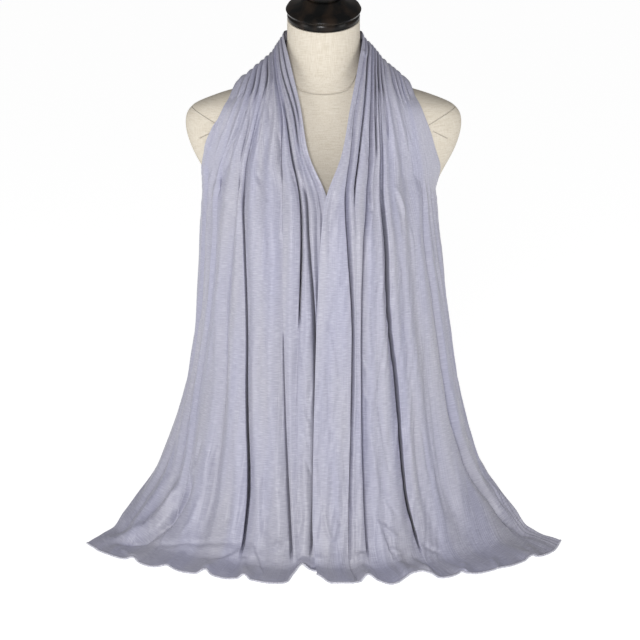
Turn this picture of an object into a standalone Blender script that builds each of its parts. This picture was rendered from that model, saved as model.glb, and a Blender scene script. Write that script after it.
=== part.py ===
"""A jersey headscarf, both ends hanging, draped on a limbless dress form.

Metres, +Z up, front towards -Y. The origin is the middle of the form's flat
base. Tables are in millimetres, and MM turns them into metres.
"""
import math
from collections import namedtuple

import bmesh
import bpy
from mathutils import Matrix, Vector
from mathutils.bvhtree import BVHTree

MM = 0.001
COLLECTION = "hijab_headscarf_on_dress_form"

# Cloth
WALL = 1.2 * MM
CLEAR_OF_FORM = 0.8 * MM
CLEAR_OF_TABLE = 0.15 * MM
SEAM_RUN = 74.0
SEAM_GAP_RUN = 0.4
HEM_RUN = 900.0
TUCK = 8.0
TUCK_SHARE = 11.0
LIP_DEPTH = 7.0
TABLE_LIP_DEPTH = 1.5
EDGE_LIFT = 4.5
LEAN_ROOM = 0.22
SETTLE_PASSES = 8
FORM_REACH = 30.0 * MM
RAY_START = 20.0 * MM
RAY_PAST = 10.0 * MM
DIRECTION_STEP = 4.0
FADE_RUN = 55.0
MOUTH_SHARE = 0.55
HANDLE_REACH = 0.56
CURVE_POINTS = 49

# Dress form
FORM_RINGS = 26
FORM_SPOKES = 36
NECK_TOP = 724.0
NECK_TILT = 19.0

# Sections of the dress form from the table up. Widths and depths are halves,
# middle is how far the section's centre lies towards the back, tilt is the
# forward lean of its plane in degrees, and power squares the oval off.
Section = namedtuple("Section", "name height width front back middle tilt power")
FORM_SECTIONS = (
    Section("base", 0.0, 158.0, 104.0, 104.0, 8.0, 0.0, 2.3),
    Section("hip", 95.0, 165.0, 108.0, 108.0, 8.0, 0.0, 2.3),
    Section("high_hip", 185.0, 148.0, 98.0, 98.0, 7.0, 0.0, 2.25),
    Section("waist", 285.0, 116.0, 84.0, 80.0, 4.0, 0.0, 2.2),
    Section("rib", 360.0, 125.0, 92.0, 84.0, 2.0, 0.0, 2.2),
    Section("bust", 435.0, 142.0, 104.0, 94.0, 0.0, 0.0, 2.15),
    Section("armhole", 500.0, 159.0, 94.0, 96.0, 2.0, 0.0, 2.1),
    Section("arm_plate", 550.0, 184.0, 80.0, 92.0, 4.0, 0.0, 2.0),
    Section("shoulder_tip", 585.0, 191.0, 72.0, 84.0, 5.0, 0.0, 2.0),
    Section("shoulder", 606.0, 180.0, 66.0, 78.0, 5.0, 0.0, 2.0),
    Section("shoulder_top", 620.0, 148.0, 61.0, 72.0, 5.0, 0.0, 2.0),
    Section("trapezius", 632.0, 108.0, 57.0, 67.0, 5.0, 1.0, 2.0),
    Section("neck_root", 645.0, 74.0, 53.0, 62.0, 4.0, 4.0, 2.0),
    Section("neck_low", 662.0, 55.0, 50.0, 55.0, 3.0, 8.0, 2.0),
    Section("neck", 690.0, 50.5, 49.0, 50.0, 1.0, 14.0, 2.0),
    Section("neck_top", NECK_TOP, 49.5, 49.5, 49.5, 0.0, NECK_TILT, 2.0),
)

# Rows across the cloth, from the nape to the hem. run is the length along the
# cloth from the middle of the nape. The inner point lies at the neck or the
# front edge, the outer point at the shoulder or the side. x is outwards from
# the middle. round is 0 for a straight row and 1 for one that curves round.
Row = namedtuple("Row", "name run xi yi zi xo yo zo round")
LEFT_ROWS = (
    Row("back", 0, 0, 60, 702, 0, 112, 566, 0.0),
    Row("nape", 50, 42, 44, 702, 74, 86, 598, 0.0),
    Row("crest", 95, 53, 2, 699, 112, 4, 642, 0.0),
    Row("collar", 135, 46, -36, 672, 134, -36, 609, 0.1),
    Row("chest", 200, 31, -76, 614, 158, -42, 567, 0.3),
    Row("pit", 265, 20, -102, 552, 167, -24, 528, 0.5),
    Row("vee", 325, -4, -122, 497, 170, -8, 486, 0.8),
    Row("bust", 385, -9, -138, 440, 173, 5, 432, 0.95),
    Row("waist", 485, -10, -146, 340, 178, 8, 336, 1.0),
    Row("hip", 585, -12, -152, 240, 191, 4, 238, 1.0),
    Row("thigh", 665, -14, -160, 160, 211, -4, 162, 1.0),
    Row("knee", 730, -14, -170, 96, 234, -14, 102, 0.95),
    Row("bend", 785, -12, -182, 42, 258, -30, 55, 0.85),
    Row("floor", 830, -8, -200, 7, 290, -65, 18, 0.7),
    Row("hem", HEM_RUN, -6, -243, 1, 331, -111, 1, 0.55),
)
RIGHT_ROWS = (
    Row("back", 0, 0, 60, 702, 0, 112, 566, 0.0),
    Row("nape", 50, 42, 44, 702, 74, 86, 598, 0.0),
    Row("crest", 95, 53, 2, 699, 112, 4, 642, 0.0),
    Row("collar", 135, 48, -36, 672, 130, -36, 612, 0.1),
    Row("chest", 200, 36, -76, 614, 147, -42, 569, 0.3),
    Row("pit", 265, 24, -102, 552, 153, -26, 528, 0.5),
    Row("vee", 325, 3, -122, 497, 158, -10, 486, 0.8),
    Row("bust", 385, -4, -138, 440, 163, 5, 432, 0.95),
    Row("waist", 485, -9, -146, 340, 174, 8, 336, 1.0),
    Row("hip", 585, -12, -152, 240, 190, 4, 238, 1.0),
    Row("thigh", 665, -14, -160, 160, 206, -4, 162, 1.0),
    Row("knee", 730, -15, -170, 96, 226, -14, 102, 0.95),
    Row("bend", 785, -15, -182, 42, 249, -30, 55, 0.85),
    Row("floor", 830, -12, -200, 7, 278, -65, 18, 0.7),
    Row("hem", HEM_RUN, -8, -243, 1, 331, -111, 1, 0.55),
)

# The pleats that the gathered neck makes. Each row gives where the crevice
# lies, in per cent of the row's width from its inner end, at each of the eleven
# PLACES down the cloth. Then come its mouth and depth, the runs where it starts
# and ends, and how far it leans outwards for each mm of depth.
Fold = namedtuple("Fold", "name back crest collar chest pit vee bust waist hip "
                          "knee floor mouth depth starts ends lean")
PLACES = (("back", 0), ("crest", 95), ("collar", 135), ("chest", 200), ("pit", 265),
          ("vee", 325), ("bust", 385), ("waist", 485), ("hip", 585), ("knee", 730),
          ("floor", 830))
LEFT_FOLDS = (
    Fold("edge", 10, 7, 7, 5, 5, 6, 8, 7, 7, 7, 5, 5, 20, 0, 240, 0.1),
    Fold("under", 15, 13, 14, 11, 9, 11, 13, 12, 12, 12, 9, 5, 34, 335, 815, -0.2),
    Fold("slip", 17, 16, 16, 17, 15, 17, 19, 19, 19, 18, 14, 6, 26, 150, 560, 0.1),
    Fold("deep", 25, 26, 25, 24, 25, 28, 26, 25, 25, 20, 15, 5, 36, 0, 825, -0.2),
    Fold("hollow", 33, 35, 32, 32, 40, 43, 38, 35, 35, 29, 25, 26, 16, 130, 340, 0.0),
    Fold("main", 41, 44, 42, 46, 52, 55, 50, 46, 44, 38, 36, 5, 38, 0, 815, 0.2),
    Fold("valley", 57, 55, 53, 57, 61, 63, 61, 61, 58, 55, 55, 12, 24, 0, 720, 0.1),
    Fold("side", 73, 68, 65, 68, 75, 76, 71, 74, 76, 74, 74, 6, 26, 0, 420, 0.2),
    Fold("outer", 88, 83, 84, 86, 88, 88, 86, 88, 89, 88, 88, 14, 14, 0, 900, 0.0),
)
RIGHT_FOLDS = (
    Fold("edge", 5, 7, 7, 6, 8, 13, 15, 18, 18, 16, 14, 7, 26, 300, 760, 0.1),
    Fold("under", 10, 16, 16, 16, 16, 19, 20, 21, 21, 20, 18, 5, 20, 0, 350, 0.1),
    Fold("deep", 25, 26, 25, 26, 27, 29, 26, 25, 25, 25, 23, 5, 34, 0, 815, -0.2),
    Fold("main", 41, 36, 35, 37, 39, 40, 39, 39, 42, 42, 46, 5, 38, 0, 825, 0.2),
    Fold("short", 57, 46, 45, 49, 50, 52, 50, 50, 52, 52, 55, 5, 22, 0, 250, 0.1),
    Fold("broad", 65, 56, 55, 59, 61, 62, 58, 59, 61, 63, 68, 20, 12, 280, 790, 0.0),
    Fold("side", 73, 67, 67, 71, 75, 75, 69, 71, 73, 79, 86, 5, 36, 0, 815, 0.2),
    Fold("outer", 88, 83, 84, 87, 88, 88, 87, 87, 88, 90, 93, 12, 12, 0, 700, 0.0),
)

# How deep the pleats can be at each run: shallow where they press on the
# shoulder, and flat where the cloth lies on the table.
DEPTH_RUNS = (0, 75, 135, 200, 265, 325, 385, 485, 700, 760, 800, 830, 900)
DEPTH_SHARES = (0.32, 0.36, 0.45, 0.6, 0.75, 0.85, 1.0, 1.0, 1.0, 0.8, 0.4, 0.0, 0.0)

# Curls of the hem that stand off the table.
Curl = namedtuple("Curl", "side share width height length")
HEM_CURLS = (
    Curl(-1, 8, 4.5, 13, 70), Curl(-1, 28, 4.0, 10, 60), Curl(-1, 43, 4.5, 13, 70),
    Curl(-1, 60, 5.0, 5, 40), Curl(-1, 76, 4.5, 9, 50),
    Curl(1, 16, 4.5, 13, 70), Curl(1, 34, 4.5, 15, 75), Curl(1, 51, 4.0, 9, 55),
    Curl(1, 68, 5.0, 5, 40), Curl(1, 84, 4.5, 8, 45),
)

# Rows of points down each piece of cloth
PANEL_RUNS = (84, 94, 104, 114, 125, 137, 155, 177, 200, 230, 262, 295, 325, 355, 392,
              440, 495, 555, 615, 670, 715, 750, 777, 799, 817, 838, 865, HEM_RUN)
NAPE_ROWS = 16
FLOOR_SHARE = 0.68
FOLD_POINTS = (-1.0, -FLOOR_SHARE, FLOOR_SHARE, 1.0)
WIDE_FACE = 12.0

# Neck cap and finial, as turned profiles (radius, height) from top to bottom
CAP_GAP = 0.3
CAP_PROFILE = (
    (0.0, 31.0), (24.0, 31.0), (27.0, 30.0), (31.0, 26.0), (37.0, 21.5), (45.0, 19.5),
    (49.5, 17.5), (51.5, 14.0), (50.0, 10.5), (48.0, 9.0), (49.5, 6.5), (49.8, 3.5),
    (48.0, 0.0), (0.0, 0.0),
)
FINIAL_PROFILE = (
    (0.0, 62.0), (8.0, 61.0), (15.0, 57.0), (20.0, 50.0), (21.5, 42.0), (19.0, 33.0),
    (14.5, 26.0), (13.0, 20.0), (15.0, 13.0), (17.0, 9.5), (21.5, 9.0), (24.5, 7.0),
    (25.0, 4.0), (24.0, 1.0), (22.0, 0.0), (0.0, 0.0),
)
TURN_STEPS = 24


def clear_scene():
    for item in list(bpy.data.objects):
        bpy.data.objects.remove(item, do_unlink=True)


def spline(knots, values, at):
    """Smooth curve through values at knots, with slopes from the neighbours."""
    last = len(knots) - 1
    at = min(max(at, knots[0]), knots[last])
    i = 0
    while i < last - 1 and at > knots[i + 1]:
        i += 1
    slopes = []
    for k in (i, i + 1):
        before, after = max(k - 1, 0), min(k + 1, last)
        slopes.append((values[after] - values[before]) / (knots[after] - knots[before]))
    step = knots[i + 1] - knots[i]
    t = (at - knots[i]) / step
    start = (1 + 2 * t) * (1 - t) ** 2 * values[i] + t * (1 - t) ** 2 * step * slopes[0]
    end = t * t * (3 - 2 * t) * values[i + 1] - t * t * (1 - t) * step * slopes[1]
    return start + end


def smooth_step(at, low, high):
    t = min(max((at - low) / (high - low), 0.0), 1.0)
    return t * t * (3 - 2 * t)


def material(name, colour, roughness, metallic=0.0):
    made = bpy.data.materials.new(name)
    made.use_nodes = True
    shader = made.node_tree.nodes["Principled BSDF"]
    shader.inputs["Base Color"].default_value = (*colour, 1.0)
    shader.inputs["Roughness"].default_value = roughness
    shader.inputs["Metallic"].default_value = metallic
    return made


def add_object(name, mesh, paint, home):
    made = bpy.data.objects.new(name, mesh)
    made.data.materials.append(paint)
    home.objects.link(made)
    return made


def loft(name, rings, closed):
    """Join rings of points with faces, and cap the ends of a closed tube."""
    mesh = bmesh.new()
    grid = [[mesh.verts.new(point) for point in ring] for ring in rings]
    count = len(rings[0])
    steps = count if closed else count - 1
    for low, high in zip(grid, grid[1:]):
        for i in range(steps):
            j = (i + 1) % count
            mesh.faces.new((low[i], low[j], high[j], high[i]))
    if closed:
        mesh.faces.new(tuple(reversed(grid[0])))
        mesh.faces.new(tuple(grid[-1]))
    mesh.normal_update()
    made = bpy.data.meshes.new(name)
    mesh.to_mesh(made)
    mesh.free()
    return made


def form_section(height):
    """Every size of the dress form at one height, in millimetres."""
    heights = [s.height for s in FORM_SECTIONS]
    sizes = {}
    for key in ("width", "front", "back", "middle", "tilt", "power"):
        sizes[key] = spline(heights, [getattr(s, key) for s in FORM_SECTIONS], height)
    return sizes


def form_ring(height):
    size = form_section(height)
    lean = Matrix.Rotation(math.radians(size["tilt"]), 3, "X")
    points = []
    for i in range(FORM_SPOKES):
        angle = 2 * math.pi * i / FORM_SPOKES
        across, along = math.cos(angle), math.sin(angle)
        depth = size["back"] if along > 0 else size["front"]
        x = size["width"] * math.copysign(abs(across) ** (2 / size["power"]), across)
        y = depth * math.copysign(abs(along) ** (2 / size["power"]), along)
        point = lean @ Vector((x, y, 0.0))
        points.append((point + Vector((0.0, size["middle"], height))) * MM)
    return points


def form_heights():
    """Ring heights, closer together where the shoulder turns."""
    heights = []
    for i in range(FORM_RINGS):
        share = i / (FORM_RINGS - 1)
        knots = (0.0, 0.2, 0.5, 0.85, 1.0)
        heights.append(spline(knots, (0.0, 250.0, 530.0, 665.0, NECK_TOP), share))
    heights[0] = 0.0
    heights[-1] = NECK_TOP
    return heights


def build_form(home):
    mesh = loft("form_torso", [form_ring(h) for h in form_heights()], True)
    mesh.shade_smooth()
    mesh.set_sharp_from_angle(angle=math.radians(50))
    linen = material("form_linen", (0.72, 0.64, 0.52), 0.85)
    return add_object("form_torso", mesh, linen, home)


def turned(name, profile, home, paint, lift):
    """A turned piece on the neck's leaning axis, lift above the neck's top."""
    mesh = bpy.data.meshes.new(name)
    points = [(radius * MM, 0.0, height * MM) for radius, height in profile]
    edges = [(i, i + 1) for i in range(len(points) - 1)]
    mesh.from_pydata(points, edges, [])
    made = add_object(name, mesh, paint, home)
    screw = made.modifiers.new("turn", "SCREW")
    screw.steps = TURN_STEPS
    screw.render_steps = TURN_STEPS
    screw.use_merge_vertices = True
    screw.merge_threshold = 0.00001
    tilt = math.radians(NECK_TILT)
    up = Vector((0.0, -math.sin(tilt), math.cos(tilt)))
    made.rotation_euler = (tilt, 0.0, 0.0)
    made.location = Vector((0.0, 0.0, NECK_TOP * MM)) + up * lift * MM
    return made


def row_at(rows, run):
    """A row's sizes at any run. A mirror of the row next to the nape's middle
    goes in before it, so that the two halves behind the neck join smoothly."""
    beside = rows[1]
    mirror = beside._replace(run=-beside.run, xi=-beside.xi, xo=-beside.xo)
    known = (mirror,) + rows
    runs = [r.run for r in known]
    return [spline(runs, [r[k] for r in known], run) for k in range(2, 9)]


def row_curve(rows, side, run):
    """Evenly spaced points on the outer line of one row across the cloth."""
    xi, yi, zi, xo, yo, zo, turn = row_at(rows, run)
    start, end = Vector((xi, yi, zi)), Vector((xo, yo, zo))
    chord = end - start
    round_start = start + Vector((HANDLE_REACH * chord.x, 0.0, chord.z / 3))
    round_end = end - Vector((0.0, HANDLE_REACH * chord.y, chord.z / 3))
    handle_start = (start + chord / 3).lerp(round_start, turn)
    handle_end = (end - chord / 3).lerp(round_end, turn)
    points = []
    for i in range(CURVE_POINTS):
        t = i / (CURVE_POINTS - 1)
        s = 1 - t
        point = start * s ** 3 + handle_start * 3 * s * s * t
        point += handle_end * 3 * s * t * t + end * t ** 3
        points.append(Vector((point.x * side, point.y, point.z)) * MM)
    lengths = [0.0]
    for a, b in zip(points, points[1:]):
        lengths.append(lengths[-1] + (b - a).length)
    return points, lengths


def on_row(curve, share):
    """Point and direction at a share of the row's length, 0 to 1."""
    points, lengths = curve
    wanted = min(max(share, 0.0), 1.0) * lengths[-1]
    i = 0
    while i < len(points) - 2 and wanted > lengths[i + 1]:
        i += 1
    span = lengths[i + 1] - lengths[i]
    part = (wanted - lengths[i]) / span
    return points[i].lerp(points[i + 1], part), (points[i + 1] - points[i]) / span


def fold_place(fold, run):
    """Where the crevice lies at this run, per cent of the row's width."""
    runs = [place[1] for place in PLACES]
    return spline(runs, [getattr(fold, place[0]) for place in PLACES], run)


def fold_strength(fold, run):
    """Full in its own stretch, and fading out over its ends."""
    rise = 1.0
    if fold.starts > 0:
        rise = smooth_step(run, fold.starts, fold.starts + FADE_RUN)
    fall = 1.0 - smooth_step(run, fold.ends - FADE_RUN, fold.ends)
    return rise * fall


def row_columns(folds, run, width):
    """The shares of the row, per cent, that get a point: four at each crevice,
    and one or two on each face between crevices."""
    places = [fold_place(fold, run) for fold in folds]
    mouths = []
    for i, fold in enumerate(folds):
        before = places[i] - (places[i - 1] if i else 0.0)
        after = (places[i + 1] if i + 1 < len(folds) else 100.0) - places[i]
        room = 0.5 * min(before, after)
        mouths.append(min(50.0 * fold.mouth / width, MOUTH_SHARE * room))
    columns = [0.0]
    edge = 0.0
    for i, (place, mouth) in enumerate(zip(places, mouths)):
        face_end = place - mouth
        faces = face_counts(folds, i)
        columns += [edge + (face_end - edge) * (k + 1) / (faces + 1) for k in range(faces)]
        columns += [place + mouth * t for t in FOLD_POINTS]
        edge = place + mouth
    faces = face_counts(folds, len(folds))
    columns += [edge + (100.0 - edge) * (k + 1) / (faces + 1) for k in range(faces)]
    columns.append(100.0)
    return columns, places, mouths


def face_counts(folds, i):
    """More points on the faces that are wide at the waist."""
    before = folds[i - 1].waist if i else 0.0
    after = folds[i].waist if i < len(folds) else 100.0
    return 2 if after - before > WIDE_FACE else 1


def crevice(offset, mouth):
    """Depth share of a crevice, 1 over its floor, with steep walls."""
    t = abs(offset) / mouth
    return min(max((1.0 - t) / (1.0 - FLOOR_SHARE), 0.0), 1.0)


def lip(offset, reach):
    """The face sinking towards the crevice."""
    t = min(abs(offset) / reach, 1.0)
    return (1.0 - t) ** 2


def fold_depth(folds, places, mouths, share, run, width):
    """Depth and lean below the row's outer line at one share, in mm."""
    limit = spline(DEPTH_RUNS, DEPTH_SHARES, run)
    flat = smooth_step(run, 780.0, 835.0)
    lip_depth = LIP_DEPTH * limit * (1 - flat) + TABLE_LIP_DEPTH * flat
    depth, lean = 0.0, 0.0
    for i, fold in enumerate(folds):
        strength = fold_strength(fold, run)
        before = places[i] - (places[i - 1] if i else 0.0)
        after = (places[i + 1] if i + 1 < len(folds) else 100.0) - places[i]
        offset = share - places[i]
        reach = 0.5 * (after if offset > 0 else before)
        sink = strength * limit * fold.depth * crevice(offset, mouths[i])
        depth += sink + strength * lip_depth * lip(offset, reach)
        room = LEAN_ROOM * width / 100.0 * (after if fold.lean > 0 else before)
        lean += math.copysign(min(sink * abs(fold.lean), room), fold.lean)
    return depth, lean


def hem_lift(side, share, run):
    """How far the hem's curls stand off the table, in mm."""
    lift = 0.0
    for curl in HEM_CURLS:
        if curl.side != side:
            continue
        near = max(0.0, 1.0 - ((share - curl.share) / curl.width) ** 2)
        grow = smooth_step(run, HEM_RUN - curl.length, HEM_RUN)
        lift += curl.height * near * near * grow
    return lift


def cloth_row(rows, folds, side, run, form_tree):
    """The mid-wall points of one row across the cloth, folds and all."""
    curve = row_curve(rows, side, run)
    width = curve[1][-1] / MM
    above = row_curve(rows, side, max(run - DIRECTION_STEP, 0.0))
    below = row_curve(rows, side, min(run + DIRECTION_STEP, HEM_RUN))
    columns, places, mouths = row_columns(folds, run, width)
    points = []
    for share in columns:
        depth, lean = fold_depth(folds, places, mouths, share, run, width)
        point = on_row(curve, share / 100.0)[0]
        facing = slot_middle(places, mouths, share) / 100.0
        across = on_row(curve, facing)[1]
        down = on_row(below, facing)[0] - on_row(above, facing)[0]
        outward = across.cross(down).normalized() * -side
        if side < 0:
            depth += TUCK * tuck_share(share, run)
        inward = depth_to_form(point, outward, depth * MM, form_tree)
        sideways = lean * max(inward, 0.0) / max(depth, 1.0)
        point = point - outward * inward + across * sideways
        point.z = max(point.z, WALL / 2 + CLEAR_OF_TABLE)
        point.z += hem_lift(side, share, run) * MM
        if side > 0:
            point.z += EDGE_LIFT * MM * smooth_step(run, 790.0, 835.0) * edge_share(share)
        points.append(point)
    return points


def slot_middle(places, mouths, share):
    """Inside a crevice, its own place, so that its two walls stay parallel."""
    for place, mouth in zip(places, mouths):
        if abs(share - place) <= 1.01 * mouth:
            return place
    return share


def tuck_share(share, run):
    """The left end's inner strip goes under the right end below the neckline."""
    return smooth_step(run, 240.0, 320.0) * (1.0 - smooth_step(share, 4.0, TUCK_SHARE))


def edge_share(share):
    """On the table the right end's inner strip lies on the left end."""
    return 1.0 - smooth_step(share, 6.0, 15.0)


def depth_to_form(point, outward, depth, form_tree):
    """Stop a crevice just short of the dress form."""
    start = point + outward * RAY_START
    hit = form_tree.ray_cast(start, -outward, RAY_START + depth + RAY_PAST)
    if hit[0] is None:
        return depth
    room = hit[3] - RAY_START - CLEAR_OF_FORM - WALL / 2
    return min(depth, room)


def settle(rings, form_tree):
    """Lift the cloth off the dress form wherever a point, the middle of an edge
    or the middle of a face comes too near it."""
    gap = CLEAR_OF_FORM + WALL / 2
    for _ in range(SETTLE_PASSES):
        push = {}
        for spots in surface_spots(rings):
            middle = Vector((0.0, 0.0, 0.0))
            for i, j in spots:
                middle += rings[i][j] / len(spots)
            place, normal, _index, distance = form_tree.find_nearest(middle)
            short = gap - (middle - place).dot(normal)
            if short > 0.0 and distance < FORM_REACH:
                for spot in spots:
                    if short > push.get(spot, Vector()).length:
                        push[spot] = normal * short
        for (i, j), move in push.items():
            rings[i][j] = rings[i][j] + move
    return rings


def surface_spots(rings):
    """The points, edges and faces of a grid of points, as tuples of places."""
    for i, ring in enumerate(rings):
        for j in range(len(ring)):
            yield ((i, j),)
            if j + 1 < len(ring):
                yield ((i, j), (i, j + 1))
            if i + 1 < len(rings):
                yield ((i, j), (i + 1, j))
            if i + 1 < len(rings) and j + 1 < len(ring):
                yield ((i, j), (i + 1, j), (i, j + 1), (i + 1, j + 1))


def cloth_piece(name, rings, paint, home, flip):
    """An open surface through the rows, thickened to the cloth's wall."""
    mesh = loft(name, rings, False)
    if flip:
        mesh.flip_normals()
    mesh.shade_smooth()
    made = add_object(name, mesh, paint, home)
    wall = made.modifiers.new("wall", "SOLIDIFY")
    wall.thickness = WALL
    wall.offset = 0.0
    wall.use_even_offset = False
    return made


def build_panel(name, rows, folds, side, form_tree, paint, home):
    runs = (SEAM_RUN + SEAM_GAP_RUN,) + PANEL_RUNS
    rings = []
    for run in runs:
        rings.append(cloth_row(rows, folds, side, run, form_tree))
    return cloth_piece(name, settle(rings, form_tree), paint, home, side < 0)


def build_nape(form_tree, paint, home):
    """The stretch behind the neck, from the left shoulder to the right one."""
    rings = []
    for i in range(NAPE_ROWS):
        run = SEAM_RUN * (2.0 * i / (NAPE_ROWS - 1) - 1.0)
        rings.append(nape_row(run, form_tree))
    return cloth_piece("scarf_nape", settle(rings, form_tree), paint, home, False)


def nape_row(run, form_tree):
    """A row behind the neck, with those pleats of its own side that reach it."""
    rows, folds, side = LEFT_ROWS, LEFT_FOLDS, -1
    if run > 0:
        rows, folds, side = RIGHT_ROWS, RIGHT_FOLDS, 1
    reaching = [fold for fold in folds if fold.starts == 0]
    return cloth_row(rows, reaching, side, abs(run), form_tree)


def build():
    clear_scene()
    home = bpy.data.collections.new(COLLECTION)
    bpy.context.scene.collection.children.link(home)
    form = build_form(home)
    form_tree = BVHTree.FromPolygons([v.co.copy() for v in form.data.vertices],
                                     [tuple(p.vertices) for p in form.data.polygons])
    black = material("turned_wood_black", (0.018, 0.013, 0.011), 0.25)
    turned("neck_cap", CAP_PROFILE, home, black, CAP_GAP)
    cap_top = CAP_PROFILE[0][1]
    turned("finial", FINIAL_PROFILE, home, black, CAP_GAP + cap_top + CAP_GAP)
    jersey = material("jersey_lilac_grey", (0.45, 0.45, 0.54), 0.7)
    build_nape(form_tree, jersey, home)
    build_panel("scarf_end_left", LEFT_ROWS, LEFT_FOLDS, -1, form_tree, jersey, home)
    build_panel("scarf_end_right", RIGHT_ROWS, RIGHT_FOLDS, 1, form_tree, jersey, home)


build()
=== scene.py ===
"""The looks of a jersey headscarf draped on a dress form.

Metres, +Z up, front towards -Y. The tables are in millimetres, and MM turns
them into metres. A run is a length along the cloth from the middle of the nape,
and a share is per cent of a row's width from its inner end.
"""
import math
from collections import namedtuple

import bmesh
import bpy
import numpy as np
from mathutils import Matrix, Vector
from mathutils.bvhtree import BVHTree


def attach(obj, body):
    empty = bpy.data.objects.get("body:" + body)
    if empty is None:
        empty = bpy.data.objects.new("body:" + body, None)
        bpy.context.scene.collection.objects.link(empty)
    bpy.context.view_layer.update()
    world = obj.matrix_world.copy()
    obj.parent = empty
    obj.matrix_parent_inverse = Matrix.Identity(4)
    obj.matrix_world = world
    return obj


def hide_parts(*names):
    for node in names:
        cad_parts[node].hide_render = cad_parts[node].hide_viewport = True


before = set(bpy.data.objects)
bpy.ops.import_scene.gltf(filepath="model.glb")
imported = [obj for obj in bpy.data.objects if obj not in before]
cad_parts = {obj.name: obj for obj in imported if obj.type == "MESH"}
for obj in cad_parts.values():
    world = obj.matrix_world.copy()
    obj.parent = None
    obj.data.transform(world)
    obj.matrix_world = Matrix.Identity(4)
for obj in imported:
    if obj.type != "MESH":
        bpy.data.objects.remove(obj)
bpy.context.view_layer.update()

MM = 0.001
BODY = "root"

# The cloth.
SHOWN_WIDTH = 0.56
SEAM_RUN = 74.0
HEM_RUN = 900.0
CLEAR_OF_FORM = 1.2
CLEAR_OF_TABLE = 0.6
HANDLE_REACH = 0.56
DIRECTION_STEP = 4.0
TUCK = 6.0
EDGE_LIFT = 4.0
LEAN_ROOM = 0.40
FADE_RUN = 55.0
NAPE_DEPTH = 10.0
NAPE_DIP = 2.0
NAPE_SWELL = 5.0
TABLE_RISE = 1.5
BREAK_BULGE = 7.0
HEM_RADIUS = 1.5
HEM_CLEAR = 0.2
ROW_SAMPLES = 65
NAPE_STEPS = 28

# A spare row past each seam, which only turns the normals beside it
SPARE_BEFORE_END = 2.7
SPARE_AFTER_NAPE = 2.3

# Runs between which the cloth changes from one state to the next
BEHIND_NECK = (20.0, 105.0)
SWOLLEN = (40.0, 120.0)
TUCKED = (240.0, 320.0)
CRUMPLED = (330.0, 480.0)
ON_TABLE = (800.0, 850.0)
BULGE_RISES = (730.0, 812.0)
BULGE_ENDS = (818.0, 846.0)
EDGE_LIFTS = (790.0, 835.0)
HEM_SPREADS = (800.0, HEM_RUN)
HEM_LIFTS = (845.0, HEM_RUN)
TUCK_SHARES = (4.0, 11.0)
EDGE_SHARES = (6.0, 15.0)
TABLE_CALM = 0.35

# How much of the room beside a crevice it, its lips and its valley may take
CREVICE_ROOM = 0.46
LIP_SINK = 0.3
VALLEY_ROOM = 0.6

# How the cloth is kept off the dress form, in mm: where a ray starts and how
# far it goes past the cloth, and how near a point has to be to be lifted
RAY_START = 20.0
RAY_PAST = 10.0
LIFT_WITHIN = 30.0
LIFT_ROUNDS = 3
FACING_STEP = 0.6

Row = namedtuple("Row", "name run xi yi zi xo yo zo round")
NECK_ROWS = (
    Row("back", 0, 0, 60, 702, 0, 112, 566, 0.0),
    Row("nape", 50, 42, 44, 702, 74, 86, 598, 0.0),
    Row("crest", 95, 53, 2, 699, 112, 4, 642, 0.0),
)
LEFT_ROWS = NECK_ROWS + (
    Row("collar", 135, 46, -36, 672, 134, -36, 609, 0.1),
    Row("chest", 200, 31, -76, 614, 158, -42, 567, 0.3),
    Row("pit", 265, 20, -102, 552, 167, -24, 528, 0.5),
    Row("vee", 325, -4, -122, 497, 170, -8, 486, 0.8),
    Row("bust", 385, -9, -138, 440, 173, 5, 432, 0.95),
    Row("waist", 485, -10, -146, 340, 178, 8, 336, 1.0),
    Row("hip", 585, -12, -152, 240, 191, 4, 238, 1.0),
    Row("thigh", 665, -14, -160, 160, 211, -4, 162, 1.0),
    Row("knee", 730, -14, -170, 96, 234, -14, 102, 0.95),
    Row("bend", 785, -12, -182, 42, 258, -30, 55, 0.85),
    Row("floor", 830, -8, -200, 7, 290, -65, 18, 0.7),
    Row("hem", HEM_RUN, -6, -243, 1, 331, -111, 1, 0.55),
)
RIGHT_ROWS = NECK_ROWS + (
    Row("collar", 135, 48, -36, 672, 130, -36, 612, 0.1),
    Row("chest", 200, 36, -76, 614, 147, -42, 569, 0.3),
    Row("pit", 265, 24, -102, 552, 153, -26, 528, 0.5),
    Row("vee", 325, 3, -122, 497, 158, -10, 486, 0.8),
    Row("bust", 385, -4, -138, 440, 163, 5, 432, 0.95),
    Row("waist", 485, -9, -146, 340, 174, 8, 336, 1.0),
    Row("hip", 585, -12, -152, 240, 190, 4, 238, 1.0),
    Row("thigh", 665, -14, -160, 160, 206, -4, 162, 1.0),
    Row("knee", 730, -15, -170, 96, 226, -14, 102, 0.95),
    Row("bend", 785, -15, -182, 42, 249, -30, 55, 0.85),
    Row("floor", 830, -12, -200, 7, 278, -65, 18, 0.7),
    Row("hem", HEM_RUN, -8, -243, 1, 331, -111, 1, 0.55),
)

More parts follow.
